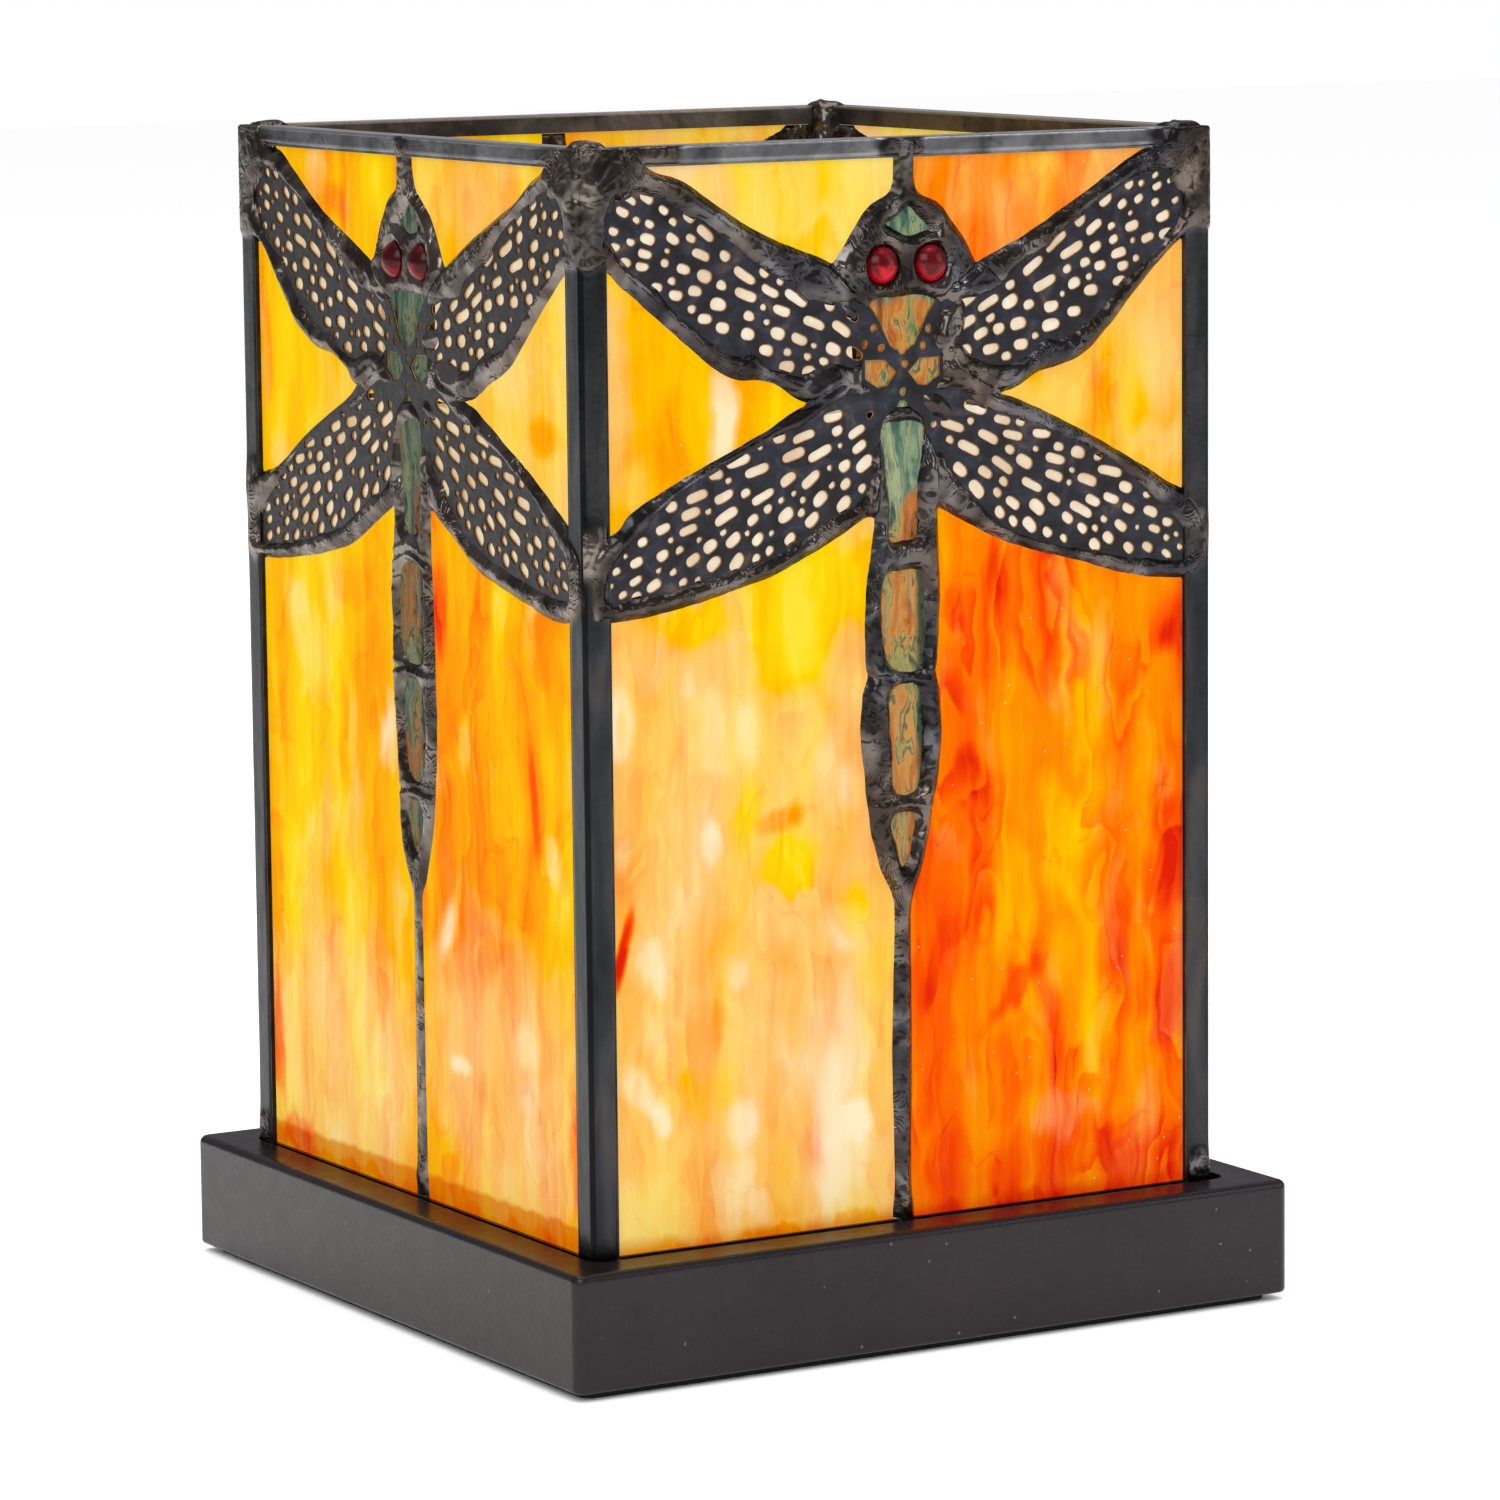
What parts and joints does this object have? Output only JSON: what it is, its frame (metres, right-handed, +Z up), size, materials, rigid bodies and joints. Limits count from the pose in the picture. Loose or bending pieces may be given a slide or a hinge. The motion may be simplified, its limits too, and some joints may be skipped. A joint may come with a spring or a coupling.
{
  "type": "stained glass table lamp",
  "caption": "Small square accent lamp: an open-topped leaded glass shade with dragonfly panels, standing in a recessed wooden base over a candelabra bulb.",
  "frame": {"origin": "centre of the base's underside, on the surface that the lamp stands on", "axes": "+Z up; -Y is the front panel, -X the left panel; the cord inlet is in the back, at +Y"},
  "size_m": [0.128, 0.128, 0.184],
  "materials": {
    "streaky_glass": "glossy streaky opalescent art glass, amber to red",
    "opal_glass": "cream opal glass behind the pierced wings",
    "body_glass": "green and amber swirled glass with bubbles",
    "ruby_glass": "polished red cabochons",
    "solder": "lumpy black-patina solder, satin with bright highlights",
    "filigree": "stamped brass filigree with a blue-black patina",
    "channel": "smooth dark blue-grey patinated metal came",
    "painted_wood": "satin charcoal-black paint",
    "felt": "black wool felt",
    "black_plastic": "moulded bushing",
    "brass": "plain drawn brass",
    "zinc_steel": "zinc-plated steel",
    "phenolic": "black-brown moulded phenolic",
    "fibre": "fibre insulating sleeve",
    "cap_glass": "black cap glass",
    "frosted_glass": "soft-white frosted bulb",
    "clear_glass": "clear lead glass",
    "tungsten": "drawn tungsten and support wire"
  },
  "bodies": {
    "base": {"base_block": "painted_wood", "felt_pad": "felt", "cord_bushing": "black_plastic", "terminal_screws": "brass", "mounting_nipple": "zinc_steel", "nipple_nut": "zinc_steel", "nipple_washer": "zinc_steel", "socket_hub": "zinc_steel", "socket_body": "phenolic", "socket_contact": "brass", "socket_core": "phenolic", "socket_liner": "fibre", "socket_screw_shell": "brass"},
    "shade": {"front_glass_upper_left": "streaky_glass", "front_glass_upper_right": "streaky_glass", "front_glass_mid_left": "streaky_glass", "front_glass_mid_right": "streaky_glass", "front_glass_lower_left": "streaky_glass", "front_glass_lower_right": "streaky_glass", "front_wing_glass": "opal_glass", "front_body_glass": "body_glass", "front_solder": "solder", "right_glass_upper_left": "streaky_glass", "right_glass_upper_right": "streaky_glass", "right_glass_mid_left": "streaky_glass", "right_glass_mid_right": "streaky_glass", "right_glass_lower_left": "streaky_glass", "right_glass_lower_right": "streaky_glass", "right_wing_glass": "opal_glass", "right_body_glass": "body_glass", "right_solder": "solder", "back_glass_upper_left": "streaky_glass", "back_glass_upper_right": "streaky_glass", "back_glass_mid_left": "streaky_glass", "back_glass_mid_right": "streaky_glass", "back_glass_lower_left": "streaky_glass", "back_glass_lower_right": "streaky_glass", "back_wing_glass": "opal_glass", "back_body_glass": "body_glass", "back_solder": "solder", "left_glass_upper_left": "streaky_glass", "left_glass_upper_right": "streaky_glass", "left_glass_mid_left": "streaky_glass", "left_glass_mid_right": "streaky_glass", "left_glass_lower_left": "streaky_glass", "left_glass_lower_right": "streaky_glass", "left_wing_glass": "opal_glass", "left_body_glass": "body_glass", "left_solder": "solder", "wing_filigrees": "filigree", "eye_jewels": "ruby_glass", "level_channels": "channel", "corner_channels": "channel", "corner_seams": "solder"},
    "bulb_cap": {"bulb_cap": "brass", "bulb_insulator": "cap_glass", "bulb_tip": "solder"},
    "bulb_glass": {"bulb_glass": "frosted_glass", "bulb_stem": "clear_glass", "bulb_filament": "tungsten"}
  },
  "joints": [
    {"name": "shade_lift", "type": "slide", "parent": "base", "child": "shade", "axis": [0, 0, 1], "range_m": [0, 0.13]},
    {"name": "bulb_rise", "type": "slide", "parent": "base", "child": "bulb_cap", "axis": [0, 0, 1], "range_m": [0, 0.0078]},
    {"name": "bulb_turn", "type": "hinge", "parent": "bulb_cap", "child": "bulb_glass", "pos_m": [0, 0, 0.058], "axis": [0, 0, 1], "range_deg": [0, 1080]}
  ],
  "couplings": [
    {"joint": "bulb_rise", "follows": "bulb_turn", "m_per_rad": 0.00040425}
  ]
}
